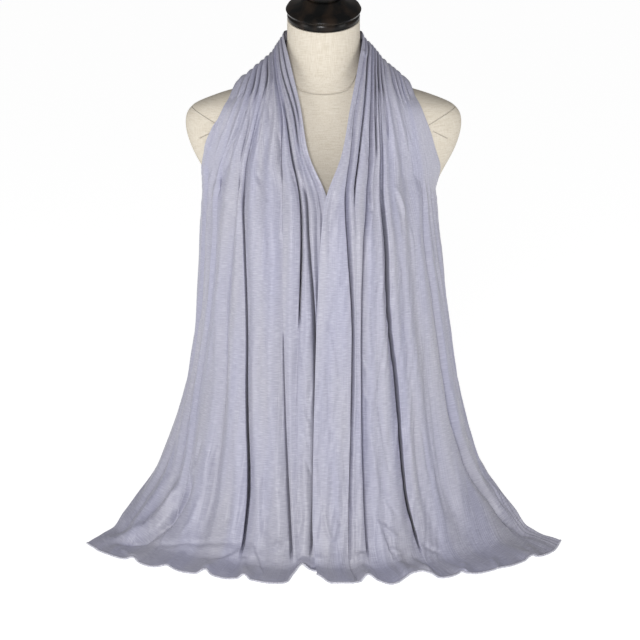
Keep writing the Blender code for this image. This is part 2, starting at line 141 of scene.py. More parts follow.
# The crevices between pleats: each one's share at eleven places down the cloth
Path = namedtuple("Path", "name back crest collar chest pit vee bust waist hip knee floor")
PLACE_RUNS = (0, 95, 135, 200, 265, 325, 385, 485, 585, 730, 830)
LEFT_PATHS = (
    Path("edge", 7, 7, 7, 4, 3.5, 4, 4, 4, 4, 4, 3.5),
    Path("inner", 14, 13, 14, 8, 6.5, 7, 7, 6, 5.5, 6, 5),
    Path("under", 21, 17, 17, 12, 9.5, 13, 12, 9, 8.5, 9, 8),
    Path("slip", 28, 21, 20, 16, 14, 16.5, 15.5, 16, 17, 16, 12),
    Path("deep", 35, 26, 24, 21, 24, 28, 26, 25, 24, 20, 15),
    Path("hollow", 42, 33, 29, 33, 40, 43, 38, 35, 35, 29, 25),
    Path("main", 50, 41, 37, 46, 52, 55, 50, 46, 44, 38, 36),
    Path("valley", 58, 51, 49, 54, 59, 60, 59, 61, 58, 55, 55),
    Path("side", 66, 60, 58, 63, 73, 76, 71, 73, 76, 70, 72),
    Path("brim", 76, 72, 71, 75, 81, 83, 78, 80, 85, 77, 84),
    Path("outer", 88, 85, 86, 88, 90, 91, 88, 89, 92, 90, 92),
)
RIGHT_PATHS = (
    Path("edge", 7, 7, 7, 6, 8, 13, 15, 18, 18, 16, 14),
    Path("under", 14, 14, 14, 16, 16, 19, 20, 20.5, 21, 19, 18),
    Path("deep", 21, 21, 22, 25, 27, 29, 25, 23.5, 23.5, 23, 22),
    Path("short", 28, 27, 27, 30, 33, 34, 32, 31, 32, 31, 31),
    Path("main", 35, 34, 33, 36, 39, 40, 39, 39, 42, 42, 45),
    Path("fork", 42, 40, 39, 44, 47, 47, 46, 46, 49, 50, 53),
    Path("broad", 50, 48, 47, 54, 60, 61, 57, 58, 60, 62, 67),
    Path("side", 58, 59, 59, 69, 75, 75, 69, 72, 73, 81, 91),
    Path("spare", 66, 68, 68, 76, 81, 82, 80, 84, 86, 91, 96),
    Path("brim", 76, 77, 77, 83, 87, 88, 87, 89, 91, 94, 97.5),
    Path("outer", 88, 87, 88, 91, 94, 94, 94, 95, 96, 97, 99),
)

# Each crevice's section: its gap (half, at the neck, the waist and the knee),
# the radius of its lips, its depth, the runs where it starts and ends, how far it
# leans outwards for each mm of depth, how much further its outer face sinks
# towards it than its inner face (bias), and the soft valley round it: its depth at
# the neck, the waist and the knee, and its half width. The last two, where there
# are any, are the runs between which it closes and leaves only that valley.
Cut = namedtuple("Cut", "name gap_top gap_mid gap_low lip depth starts ends lean bias "
                        "dip_top dip_mid dip_low reach calm wake", defaults=(0, 0))
LEFT_CUTS = (
    Cut("edge", 0.5, 0.6, 0.6, 1.6, 12, 0, 235, 0.3, 0.0, 2.0, 1.5, 1.0, 9),
    Cut("inner", 0.7, 0.8, 0.6, 1.7, 16, 0, 262, 0.3, 0.2, 3.0, 2.0, 1.5, 9),
    Cut("under", 0.8, 1.9, 1.3, 1.7, 34, 300, 822, -0.25, -0.3, 2.0, 4.5, 4.0, 14),
    Cut("slip", 1.5, 1.6, 1.0, 1.7, 30, 175, 505, 0.3, 0.2, 3.0, 6.0, 3.0, 16),
    Cut("deep", 1.4, 0.9, 1.9, 1.7, 34, 0, 835, -0.25, 0.3, 4.0, 6.0, 6.0, 18, 250, 560),
    Cut("hollow", 0.6, 0.8, 0.8, 1.7, 10, 0, 75, 0.0, 0.0, 7.0, 2.5, 2.0, 14),
    Cut("main", 1.1, 0.9, 1.7, 1.7, 36, 0, 838, 0.3, -0.2, 4.0, 6.0, 7.0, 20),
    Cut("valley", 0.9, 0.9, 0.9, 1.7, 24, 0, 320, 0.1, 0.0, 3.0, 9.0, 9.0, 17),
    Cut("side", 1.9, 1.4, 1.0, 1.7, 32, 0, 320, 0.6, 0.2, 5.0, 4.0, 4.0, 18),
    Cut("brim", 0.7, 0.8, 0.8, 1.7, 18, 0, 190, 0.2, 0.0, 3.0, 4.0, 5.0, 16),
    Cut("outer", 0.8, 1.0, 1.0, 1.7, 12, 0, 150, 0.0, 0.0, 3.0, 5.0, 6.0, 14),
)
RIGHT_CUTS = (
    Cut("edge", 1.0, 1.1, 1.0, 1.7, 24, 300, 640, 0.15, 0.9, 1.5, 7.0, 4.0, 14),
    Cut("under", 1.0, 0.8, 0.8, 1.7, 22, 0, 345, 0.3, 0.0, 2.5, 2.0, 2.0, 9),
    Cut("deep", 1.8, 1.3, 1.4, 1.7, 32, 0, 830, -0.3, 0.3, 3.0, 4.0, 5.0, 12),
    Cut("short", 1.0, 0.8, 0.8, 1.7, 22, 0, 270, 0.25, 0.0, 2.5, 2.0, 2.0, 9),
    Cut("main", 1.4, 0.8, 1.0, 1.7, 36, 0, 838, 0.3, -0.6, 3.5, 6.0, 5.0, 18),
    Cut("fork", 1.2, 0.8, 0.8, 1.7, 24, 0, 235, 0.25, 0.0, 2.5, 2.0, 3.0, 12),
    Cut("broad", 0.7, 0.8, 0.8, 1.7, 14, 0, 140, 0.0, 0.0, 3.0, 6.0, 6.0, 20),
    Cut("side", 1.3, 2.4, 3.6, 1.4, 16, 0, 850, 1.2, 0.6, 4.0, 8.0, 11.0, 16),
    Cut("spare", 0.8, 0.8, 0.8, 1.7, 18, 0, 190, 0.2, 0.0, 2.5, 2.5, 2.0, 10),
    Cut("brim", 0.7, 0.8, 0.8, 1.7, 16, 0, 230, 0.2, 0.0, 2.5, 3.5, 2.0, 10),
    Cut("outer", 0.8, 0.8, 0.8, 1.7, 10, 0, 150, 0.0, 0.0, 2.0, 3.0, 2.0, 8),
)

# Smaller creases, each through three points (run, share): a line is a trough,
# or a ridge below zero, and a step is a fold's edge that lies over its far side.
# The runs and shares were worked out from places read off the photo.
Line = namedtuple("Line", "width depth run_a at_a run_b at_b run_c at_c")


class Step(Line):
    """A crease like the edge of a fold, with one side over the other."""


CREASE_PIECES = 8
CREASE_MARGIN = 8.0
CREASE_FADES_IN = (0.0, 0.22)
CREASE_FADES_OUT = (0.78, 1.0)
STEP_HALF = 0.3
STEP_TAIL = 5.0
LEFT_CREASES = (
    # at the neck
    Line(1.6, 2.4, 122, 26, 154, 33.5, 186, 37.5), Line(1.5, 2, 196, 40, 218, 42.5, 242, 43.5),
    Line(1.5, 2.2, 224, 25.5, 252, 24.5, 276, 26.5), Line(1.8, 2.6, 126, 73.5, 138, 80, 148, 85),
    Line(1.8, 2.4, 140, 99.5, 188, 95, 256, 88), Line(2, -1.8, 172, 59.5, 210, 63, 244, 68.5),
    Line(3, 2.2, 284, 44.5, 310, 41, 332, 36.5), Line(2.8, 1.8, 276, 16.5, 326, 17, 380, 13),
    Line(2.4, -1.6, 270, 11, 302, 11.5, 334, 10.5), Line(2.6, 1.8, 258, 2, 298, 4, 360, 6.5),
    # down the front
    Line(1.9, -1, 422, 46.5, 418, 36.5, 418, 26), Line(1.9, -0.9, 418, 24, 418, 16, 418, 7.5),
    Line(1.9, -1.2, 426, 46.5, 448, 35, 478, 25), Line(1.9, -1.2, 444, 46.5, 462, 36, 480, 25),
    Line(1.7, 0.9, 414, 99, 402, 79.5, 396, 70), Line(1.7, 0.8, 448, 72, 448, 65.5, 446, 59.5),
    Line(2.2, -1.6, 496, 14.5, 530, 15, 568, 12), Line(2.4, 2.2, 590, 14.5, 612, 12.5, 634, 10.5),
    Line(2.2, 1.8, 634, 15, 650, 13, 664, 11), Line(2.2, 1.8, 674, 13.5, 692, 11.5, 708, 9.5),
    Line(3.5, 2.2, 654, 16, 724, 14.5, 778, 12.5), Line(4, 1.8, 492, 38, 582, 37, 674, 35.5),
    Line(4.5, -1.6, 492, 32, 574, 31, 658, 29), Line(2.4, 1.2, 718, 25.5, 726, 23.5, 734, 22),
    Line(4.5, 2, 700, 32, 750, 30.5, 796, 28), Line(2.8, 2, 670, 65.5, 696, 66, 714, 66),
    Line(3.2, 2.4, 714, 66, 762, 67, 802, 71), Line(2.8, -2, 750, 60.5, 784, 60.5, 818, 64.5),
    Line(4.5, 2, 678, 47, 742, 44.5, 794, 44), Line(5.5, -2, 678, 60.5, 736, 58, 794, 57.5),
    Line(5, -2.2, 736, 83.5, 792, 86, 828, 90.5),
    # where it meets the table
    Line(5, 10, 722, 69.5, 798, 71, 876, 93), Line(8, -6.5, 742, 74.5, 800, 79.5, 880, 98),
    Line(4, 2.4, 842, 76, 818, 54.5, 806, 36.5), Step(3, 3, 806, 36.5, 832, 40.5, 858, 49),
    Step(3, 2.6, 868, 24, 828, 29, 802, 32.5), Line(4.5, -3, 786, 27, 808, 23.5, 788, 20.5),
    Line(4.5, -3.6, 828, 35, 848, 33.5, 892, 30.5), Line(4.5, -3.2, 842, 50.5, 868, 48, 900, 45),
    Line(4.5, -3, 874, 85, 884, 80, 896, 75.5),
)
RIGHT_CREASES = (
    # at the neck
    Line(1.5, 2.2, 220, 21.5, 240, 21.5, 280, 28), Line(1.6, 2.4, 180, 24.5, 232, 26.5, 280, 29),
    Line(2.4, 2.2, 154, 71.5, 214, 75, 278, 84), Line(2, 1.8, 166, 51.5, 204, 59, 246, 60),
    Line(1.8, -1.8, 130, 27.5, 178, 30.5, 222, 31.5), Line(1.6, 2, 190, 5, 216, 5, 244, 5),
    Line(2.2, 1.6, 166, 39, 204, 40.5, 250, 41.5), Line(2.6, -2.2, 116, 1.5, 120, 9.5, 90, 20),
    # down the front
    Line(3, 1.8, 312, 4.5, 360, 4.5, 428, 5.5), Line(3, -1.6, 326, 10, 366, 9, 408, 9),
    Line(2.2, 1.8, 494, 4.5, 518, 9, 590, 13), Line(3, 2, 542, 5.5, 606, 7, 668, 8),
    Line(3, 2.2, 668, 8, 722, 8, 764, 6.5), Line(3, 2.2, 654, 14, 720, 15, 778, 18.5),
    Line(2.4, 1.6, 666, 2, 702, 3, 736, 4), Line(3.6, -2.2, 682, 11, 724, 11, 764, 12),
    Line(1.8, -0.9, 502, 1.5, 502, 7, 504, 12.5), Line(1.7, 1.1, 498, 23.5, 498, 28, 498, 33),
    Line(2.6, -2, 308, 19, 342, 18.5, 386, 19), Line(2, 2.4, 298, 28.5, 326, 30.5, 348, 31),
    Line(2.6, -1.8, 302, 49, 330, 53.5, 356, 53.5), Line(2.8, 1.8, 312, 50, 350, 51.5, 384, 49.5),
    Line(3.2, 1.8, 398, 46.5, 468, 49, 540, 47.5), Line(2.6, -1.4, 366, 58, 394, 58.5, 422, 58.5),
    Line(2.4, 1.6, 446, 64.5, 478, 57.5, 520, 54.5), Line(2.2, 1.6, 498, 47.5, 538, 49, 586, 46.5),
    Line(2.2, -1.6, 542, 23, 552, 24.5, 570, 26), Line(2.2, -1.6, 588, 23.5, 600, 25.5, 614, 27.5),
    Line(2.6, 1.8, 462, 28, 504, 28.5, 538, 29), Line(2.6, 1.8, 600, 30.5, 644, 32.5, 722, 35.5),
    Line(2.2, 2, 728, 31.5, 748, 33.5, 770, 36.5), Line(3, -1.8, 642, 27, 692, 28, 742, 29.5),
    Line(2.8, 2.2, 646, 53, 686, 54, 726, 54.5), Line(3.2, 1.8, 596, 52, 672, 49.5, 760, 50),
    Line(3.4, -1.8, 580, 49, 650, 46.5, 706, 46), Line(3.4, 2, 700, 59, 744, 59.5, 796, 59.5),
    Line(4, -1.8, 586, 61.5, 658, 60.5, 722, 60.5), Line(3.2, 1.6, 334, 83.5, 394, 79, 454, 79.5),
    Line(4, 1.6, 640, 76, 684, 76.5, 736, 76.5), Line(3.6, -1.8, 770, 91.5, 796, 93, 822, 96),
    # where it meets the table
    Line(2.6, -2.6, 748, 5, 774, 6, 796, 8), Line(2.6, -2.4, 764, 11, 780, 9.5, 796, 8),
    Line(5, 5, 732, 80.5, 808, 91, 864, 97), Line(6, -4, 754, 89, 812, 99.5, 874, 100),
    Line(3.5, 2.4, 808, 45.5, 822, 49, 834, 53.5), Step(3, 3.4, 752, 27, 818, 31.5, 884, 36),
    Line(2.8, -2.2, 772, 27.5, 788, 32.5, 800, 35.5), Line(2.6, -2, 810, 32, 818, 34, 824, 36),
    Line(5, -5.5, 820, 35.5, 858, 33.5, 900, 31), Line(5, -5, 832, 41, 866, 40, 900, 40.5),
    Line(5, -4.6, 812, 19.5, 830, 19, 876, 17.5), Line(5, -4, 852, 58, 880, 55, 900, 53),
    Line(5, -3.6, 858, 70.5, 892, 66, 900, 65.5), Line(5, -3.6, 862, 88.5, 884, 86.5, 900, 85),
)

# How the faces waver: the size of the patches across and along the cloth, how
# they slant, and their height
Waver = namedtuple("Waver", "across along slant height")
WAVERS = (Waver(26, 150, 0.05, 2.0), Waver(11, 80, -0.08, 1.0), Waver(5.5, 45, 0.12, 0.45))
CRUMPLE = Waver(4.6, 55, 0.14, 1.1)
CRUMPLED_TO = {-1: (14.0, 28.0), 1: (50.0, 68.0)}
WAVER_SEED = 5
LATTICE = 96

# The hem on the table: how far it reaches past a smooth curve, and its lift
Wave = namedtuple("Wave", "share reach lift")
LEFT_HEM = (
    Wave(0, -34, 0), Wave(8.5, -33, 2), Wave(11, -27, 8), Wave(13, -8, 6), Wave(15.5, 12, 0),
    Wave(21, 17, 0), Wave(27, 13, 1), Wave(30.5, 8, 7), Wave(33.5, 13, 1), Wave(37, 16, 0),
    Wave(43, 9, 1), Wave(45.5, 5, 6), Wave(48.5, 11, 1), Wave(54, 12, 0), Wave(59, 5, 2),
    Wave(62, 3, 2), Wave(66, 11, 0), Wave(71, 8, 0), Wave(75.5, 3, 5), Wave(79, 6, 1),
    Wave(89, 4, 0), Wave(100, 1, 2),
)
RIGHT_HEM = (
    Wave(0, -8, 2), Wave(4, 12, 0), Wave(10, 12, 0), Wave(15, 8, 1), Wave(18, 2, 8),
    Wave(21, 6, 2), Wave(24, 24, 0), Wave(27, 22, 2), Wave(31.5, 12, 6), Wave(37, 9, 8),
    Wave(40.5, 14, 7), Wave(43.5, 23, 1), Wave(48, 20, 0), Wave(52, 14, 5), Wave(55.5, 24, 0),
    Wave(61, 23, 2), Wave(66, 19, 3), Wave(70, 19, 0), Wave(76, 15, 0), Wave(82.5, 8, 5),
    Wave(86.5, 12, 0), Wave(93, 9, 1), Wave(100, 2, 5),
)

# How deep the pleats can be at each run
DEPTH_RUNS = (0, 75, 135, 200, 265, 325, 385, 485, 700, 760, 800, 830, 900)
DEPTH_SHARES = (0.40, 0.50, 0.62, 0.78, 0.88, 0.94, 1.0, 1.2, 1.2, 1.1, 0.8, 0.15, 0.0)

# The runs at which a crevice's gap and its valley are given, and the valley
# where the cloth breaks on to the table, on the table and at the hem
GAP_RUNS = (0.0, 130.0, 485.0, 730.0, HEM_RUN)
DIP_RUNS = (0.0, 60.0, 130.0, 300.0, 485.0, 730.0, 800.0, 835.0, HEM_RUN)
BREAK_DIP_SHARE = 0.7
TABLE_DIP = 1.0
HEM_DIP = 0.8

# Half of a crevice's section from its mouth down: how many gaps and how many
# lip radii from its middle, the part of the lip sunk, and the part of its depth
Slot = namedtuple("Slot", "gaps lips sunk down")
SLOT = (
    Slot(1.0, 1.0, 0.0, 0.0), Slot(1.0, 0.6, 0.12, 0.0), Slot(1.0, 0.28, 0.4, 0.0),
    Slot(1.0, 0.06, 0.8, 0.0), Slot(1.0, 0.0, 1.0, 0.3), Slot(1.05, 0.0, 1.0, 0.68),
    Slot(0.6, 0.0, 1.0, 1.0),
)

FACE_SPACING = 1.75
WAIST_WIDTH = 268.0
FEWEST_STEPS = 3
LIP_STEPS = 2
ROW_STEPS = ((76, 3.0), (140, 2.2), (780, 3.0), (842, 2.2), (HEM_RUN, 1.9))


def smooth_through(knots, values, at):
    """Smooth curve through values at knots, with slopes from the neighbours."""
    knots, values = np.asarray(knots, float), np.asarray(values, float)
    last = len(knots) - 1
    at = np.clip(np.asarray(at, float), knots[0], knots[-1])
    i = np.clip(np.searchsorted(knots, at, side="left") - 1, 0, last - 1)
    places = np.arange(last + 1)
    before, after = np.maximum(places - 1, 0), np.minimum(places + 1, last)
    slopes = (values[after] - values[before]) / (knots[after] - knots[before])
    step = knots[i + 1] - knots[i]
    t = (at - knots[i]) / step
    start = (1 + 2 * t) * (1 - t) ** 2 * values[i] + t * (1 - t) ** 2 * step * slopes[i]
    end = t * t * (3 - 2 * t) * values[i + 1] - t * t * (1 - t) * step * slopes[i + 1]
    return start + end


def smooth_step(at, low, high):
    t = np.clip((np.asarray(at, float) - low) / (high - low), 0.0, 1.0)
    return t * t * (3 - 2 * t)


def row_lines(rows, runs):
    """The outer line of each row for the side at +X, as points and lengths."""
    beside = rows[1]
    mirror = beside._replace(run=-beside.run, xi=-beside.xi, xo=-beside.xo)
    known = (mirror,) + rows
    knots = [r.run for r in known]
    size = [smooth_through(knots, [r[k] for r in known], runs) for k in range(2, 9)]
    start, end = np.stack(size[0:3], 1), np.stack(size[3:6], 1)
    turn = size[6][:, None]
    chord = end - start
    off_start, off_end = chord.copy(), chord.copy()
    off_start *= (HANDLE_REACH, 0.0, 1 / 3)
    off_end *= (0.0, HANDLE_REACH, 1 / 3)
    handle_start = (start + chord / 3) * (1 - turn) + (start + off_start) * turn
    handle_end = (end - chord / 3) * (1 - turn) + (end - off_end) * turn
    t = np.linspace(0.0, 1.0, ROW_SAMPLES)[None, :, None]
    s = 1 - t
    points = start[:, None] * s ** 3 + handle_start[:, None] * 3 * s * s * t
    points = points + handle_end[:, None] * 3 * s * t * t + end[:, None] * t ** 3
    steps = np.linalg.norm(np.diff(points, axis=1), axis=2)
    lengths = np.concatenate((np.zeros((len(points), 1)), np.cumsum(steps, 1)), 1)
    return points, lengths


def on_rows(rows, runs, shares):
    """Points at each row's own shares, in mm, and the rows' widths."""
    points, lengths = row_lines(rows, runs)
    found = np.empty(shares.shape + (3,))
    for i in range(len(runs)):
        wanted = shares[i] / 100.0 * lengths[i, -1]
        for k in range(3):
            found[i, :, k] = np.interp(wanted, lengths[i], points[i, :, k])
    return found, lengths[:, -1]


def fold_places(paths, runs):
    return np.stack([smooth_through(PLACE_RUNS, path[1:], runs) for path in paths], 1)


def fold_gap(cut, runs):
    values = (cut.gap_top, cut.gap_top, cut.gap_mid, cut.gap_low, cut.gap_low)
    return smooth_through(GAP_RUNS, values, runs)


def fold_dip(cut, runs):
    between = 0.5 * (cut.dip_top + cut.dip_mid)
    values = (NAPE_DIP, NAPE_DIP, cut.dip_top, between, cut.dip_mid, cut.dip_low,
              BREAK_DIP_SHARE * cut.dip_low, TABLE_DIP, HEM_DIP)
    return smooth_through(DIP_RUNS, values, runs)


def fold_depth(cut, runs):
    """Every pleat is there behind the neck, and then in its own stretch."""
    rise = smooth_step(runs, cut.starts, cut.starts + FADE_RUN) if cut.starts else 1.0
    own = rise * (1.0 - smooth_step(runs, cut.ends - FADE_RUN, cut.ends))
    if cut.wake:
        calm = smooth_step(runs, cut.calm, cut.calm + FADE_RUN)
        own = own * (1.0 - calm * (1.0 - smooth_step(runs, cut.wake - FADE_RUN, cut.wake)))
    own = own * cut.depth * smooth_through(DEPTH_RUNS, DEPTH_SHARES, runs)
    behind = 1.0 - smooth_step(runs, *BEHIND_NECK)
    return own * (1.0 - behind) + NAPE_DEPTH * behind


def face_steps():
    """How many points each face between crevices gets, the same on both sides,
    so that the two halves behind the neck join point to point."""
    waists = []
    for paths in (LEFT_PATHS, RIGHT_PATHS):
        waists.append(np.diff([0.0] + [p.waist for p in paths] + [100.0]))
    widest = np.max(waists, axis=0) / 100.0 * WAIST_WIDTH
    return [max(FEWEST_STEPS, int(round(w / FACE_SPACING)) - LIP_STEPS) for w in widest]


class Weave:
    """The columns of points across each row, and how deep each one lies."""

    def __init__(self, rows, paths, cuts, runs):
        self.width = on_rows(rows, runs, np.zeros((len(runs), 1)))[1]
        self.places = fold_places(paths, runs) * self.width[:, None] / 100.0
        zero = np.zeros((len(runs), 1))
        bounds = np.concatenate((zero, self.places, self.width[:, None]), 1)
        spaces = np.diff(bounds, axis=1)
        room = CREVICE_ROOM * np.minimum(spaces[:, :-1], spaces[:, 1:])
        columns, down, side, facing = [], [], [], []
        edge = np.zeros(len(runs))
        steps = face_steps()
        for k, cut in enumerate(cuts):
            gap, lip = fold_gap(cut, runs), np.full(len(runs), float(cut.lip))
            fit = np.minimum(1.0, room[:, k] / (gap + lip))
            gap, lip = gap * fit, lip * fit
            depth = fold_depth(cut, runs)
            sink = np.minimum(lip, LIP_SINK * depth)
            half = []
            for row in SLOT:
                half.append((row.gaps * gap + row.lips * lip,
                             sink * row.sunk + (depth - sink) * row.down))
            centre = self.places[:, k]
            self.fill_face(columns, down, side, facing, edge, centre - half[0][0], steps[k])
            for sign, rows_here in ((-1, half), (1, half[::-1])):
                for across, sunk in rows_here:
                    columns.append(centre + sign * across)
                    down.append(sunk)
                    lean_room = LEAN_ROOM / CREVICE_ROOM * room[:, k]
                    slant = np.minimum(abs(cut.lean) * sunk, lean_room)
                    side.append(math.copysign(1.0, cut.lean) * slant)
                    facing.append(centre)
            edge = centre + half[0][0]
        self.fill_face(columns, down, side, facing, edge, self.width, steps[-1])
        self.columns = np.stack(columns, 1)
        self.columns[:, 0], self.columns[:, -1] = 0.0, self.width
        self.down, self.side = np.stack(down, 1), np.stack(side, 1)
        self.facing = np.stack(facing, 1)
        for k, cut in enumerate(cuts):
            offset = self.columns - self.places[:, k:k + 1]
            space = np.where(offset > 0, spaces[:, k + 1:k + 2], spaces[:, k:k + 1])
            away = np.clip(np.abs(offset) / np.minimum(VALLEY_ROOM * space, cut.reach), 0.0, 1.0)
            tilt = np.where(offset > 0, 1.0 + cut.bias, 1.0 - cut.bias)
            near = 0.5 + 0.5 * np.cos(math.pi * away)
            self.down += near * tilt * fold_dip(cut, runs)[:, None]

    def fill_face(self, columns, down, side, facing, start, end, steps):
        zero = np.zeros(len(start))
        first = 0 if not columns else 1
        for i in range(first, steps + 1):
            columns.append(start + (end - start) * i / (steps + 1))
            down.append(zero)
            side.append(zero)
            facing.append(columns[-1])
        if end is self.width:
            columns.append(end)
            down.append(zero)
            side.append(zero)
            facing.append(end)


def waver(across, share, runs, side):
    """Patches of uneven height, which run on across the nape's middle."""
    source = np.random.default_rng(WAVER_SEED)
    total = np.zeros(across.shape)
    for layer in WAVERS + (CRUMPLE,):
        lattice = source.uniform(-1.0, 1.0, (LATTICE, LATTICE))
        along = np.repeat(side * runs[:, None], across.shape[1], 1)
        u = across / layer.across + layer.slant * along / layer.across + LATTICE / 2
        v = along / layer.along + LATTICE / 2
        i, j = np.floor(u).astype(int), np.floor(v).astype(int)
        s, t = smooth_step(u - i, 0, 1), smooth_step(v - j, 0, 1)
        i, after_i, j, after_j = i % LATTICE, (i + 1) % LATTICE, j % LATTICE, (j + 1) % LATTICE
        low = lattice[i, j] * (1 - s) + lattice[after_i, j] * s
        high = lattice[i, after_j] * (1 - s) + lattice[after_i, after_j] * s
        height = layer.height
        if layer is CRUMPLE:
            lower = smooth_step(runs, *CRUMPLED)[:, None]
            height = height * lower * (1.0 - smooth_step(share, *CRUMPLED_TO[side]))
        total += height * (low * (1 - t) + high * t)
    return total


def creasing(side, across, runs, rows):
    """How deep the creases of the table press each point in."""
    total = np.zeros(across.shape)
    t = np.linspace(0.0, 1.0, CREASE_PIECES + 1)
    weights = np.stack(((1 - t) * (1 - 2 * t), 4 * t * (1 - t), t * (2 * t - 1)), 1)
    for crease in LEFT_CREASES if side < 0 else RIGHT_CREASES:
        path_run = weights @ np.array([crease.run_a, crease.run_b, crease.run_c], float)
        share = weights @ np.array([crease.at_a, crease.at_b, crease.at_c], float)
        width = on_rows(rows, path_run, np.zeros((len(t), 1)))[1]
        path = np.stack((share / 100.0 * width, path_run), 1)
        margin = CREASE_MARGIN * crease.width
        near = np.nonzero((runs > path_run.min() - margin) & (runs < path_run.max() + margin))[0]
        if not len(near):
            continue
        part = slice(near[0], near[-1] + 1)
        spot = np.stack((across[part], np.repeat(runs[part, None], across.shape[1], 1)), -1)
        best = np.full(spot.shape[:2], np.inf)
        along, turn = np.zeros(spot.shape[:2]), np.zeros(spot.shape[:2])
        for k, (a, b) in enumerate(zip(path[:-1], path[1:])):
            way = b - a
            s = np.clip((spot - a) @ way / max(way @ way, 1e-6), 0.0, 1.0)
            off = spot - a - s[..., None] * way
            size = np.hypot(off[..., 0], off[..., 1])
            closer = size < best
            best = np.where(closer, size, best)
            along = np.where(closer, (k + s) / CREASE_PIECES, along)
            turn = np.where(closer, way[0] * off[..., 1] - way[1] * off[..., 0], turn)
        ends = smooth_step(along, *CREASE_FADES_IN)
        ends = ends * (1.0 - smooth_step(along, *CREASE_FADES_OUT))
        if isinstance(crease, Step):
            half = STEP_HALF * crease.width
            rise = smooth_step(np.where(turn > 0, best, -best), -half, half)
            shape = -rise * np.exp(-best / (STEP_TAIL * crease.width))
        else:
            shape = np.exp(-(best / crease.width) ** 2)
        total[part] += crease.depth * shape * ends
    return total


def unit(vectors):
    return vectors / np.linalg.norm(vectors, axis=-1, keepdims=True)


def cloth_points(rows, paths, cuts, hem, side, runs):
    """Every point of one side's cloth at the given runs, in millimetres."""
    weave = Weave(rows, paths, cuts, runs)
    width = weave.width[:, None]
    share = 100.0 * weave.columns / width
    facing = 100.0 * weave.facing / width
    base = on_rows(rows, runs, share)[0]
    ahead = on_rows(rows, runs, np.clip(facing + FACING_STEP, 0, 100))[0]
    behind = on_rows(rows, runs, np.clip(facing - FACING_STEP, 0, 100))[0]
    low = on_rows(rows, np.minimum(runs + DIRECTION_STEP, HEM_RUN), facing)[0]
    high = on_rows(rows, np.maximum(runs - DIRECTION_STEP, 0.0), facing)[0]
    across, down = unit(ahead - behind), unit(low - high)
    outward = -unit(np.cross(across, down))
    depth = weave.down + extra_depth(side, weave.columns, share, runs, rows)
    for grid in (base, across, down, outward):
        grid[..., 0] *= side
    reach = clamp_to_form(base, outward, depth)
    slant = weave.side * np.clip(reach, 0.0, None) / np.maximum(depth, 1.0)
    points = base - outward * reach[..., None] + across * slant[..., None]
    shares = [w.share for w in hem]
    spread = smooth_through(shares, [w.reach for w in hem], share)
    lift = smooth_through(shares, [w.lift for w in hem], share)
    points += down * (spread * smooth_step(runs, *HEM_SPREADS)[:, None])[..., None]
    points[..., 2] += lift * smooth_step(runs, *HEM_LIFTS)[:, None]
    points[..., 2] = np.maximum(points[..., 2], CLEAR_OF_TABLE)
    if side > 0:
        edge = EDGE_LIFT * smooth_step(runs, *EDGE_LIFTS)[:, None]
        points[..., 2] += edge * (1.0 - smooth_step(share, *EDGE_SHARES))
    return points, share


def extra_depth(side, across, share, runs, rows):
    """The wavering, the creases and the broad swellings, as depth in mm."""
    on_table = smooth_step(runs, *ON_TABLE)[:, None]
    extra = waver(across, share, runs, side) * (1.0 - TABLE_CALM * on_table)
    extra -= TABLE_RISE * on_table
    extra += creasing(side, across, runs, rows)
    bulge = smooth_step(runs, *BULGE_RISES) * (1.0 - smooth_step(runs, *BULGE_ENDS))
    extra -= BREAK_BULGE * bulge[:, None]
    extra -= NAPE_SWELL * (1.0 - smooth_step(runs, *SWOLLEN))[:, None]
    if side < 0:
        below = smooth_step(runs, *TUCKED)[:, None]
        extra += TUCK * below * (1.0 - smooth_step(share, *TUCK_SHARES))
    return extra


def clamp_to_form(base, outward, depth):
    """Stop each point just short of the dress form."""
    reach = depth.copy()
    for i in range(base.shape[0]):
        for j in range(base.shape[1]):
            start = Vector((base[i, j] + outward[i, j] * RAY_START) * MM)
            far = (RAY_START + depth[i, j] + RAY_PAST) * MM
            hit = form_tree.ray_cast(start, Vector(-outward[i, j]), far)
            if hit[0] is not None:
                free = hit[3] / MM - RAY_START - CLEAR_OF_FORM
                reach[i, j] = min(depth[i, j], free)
    return reach


def settle(points):
    """Lift points off the dress form along its normals."""
    gap = CLEAR_OF_FORM * MM
    for _round in range(LIFT_ROUNDS):
        for spot in points:
            place, normal, _index, distance = form_tree.find_nearest(Vector(spot * MM))
            short = gap - (Vector(spot * MM) - place).dot(normal)
            if short > 0.0 and distance < LIFT_WITHIN * MM:
                spot += np.array(normal) * short / MM
    return points


def grid_normals(points, flip):
    """Normals of a grid's points, from the faces round each one."""
    across = points[1:, 1:] - points[:-1, :-1]
    against = points[1:, :-1] - points[:-1, 1:]
    face = np.cross(across, against) * (-1.0 if flip else 1.0)
    normals = np.zeros(points.shape)
    for rows in (slice(None, -1), slice(1, None)):
        for columns in (slice(None, -1), slice(1, None)):
            normals[rows, columns] += face
    return normals / np.maximum(np.linalg.norm(normals, axis=-1, keepdims=True), 1e-9)


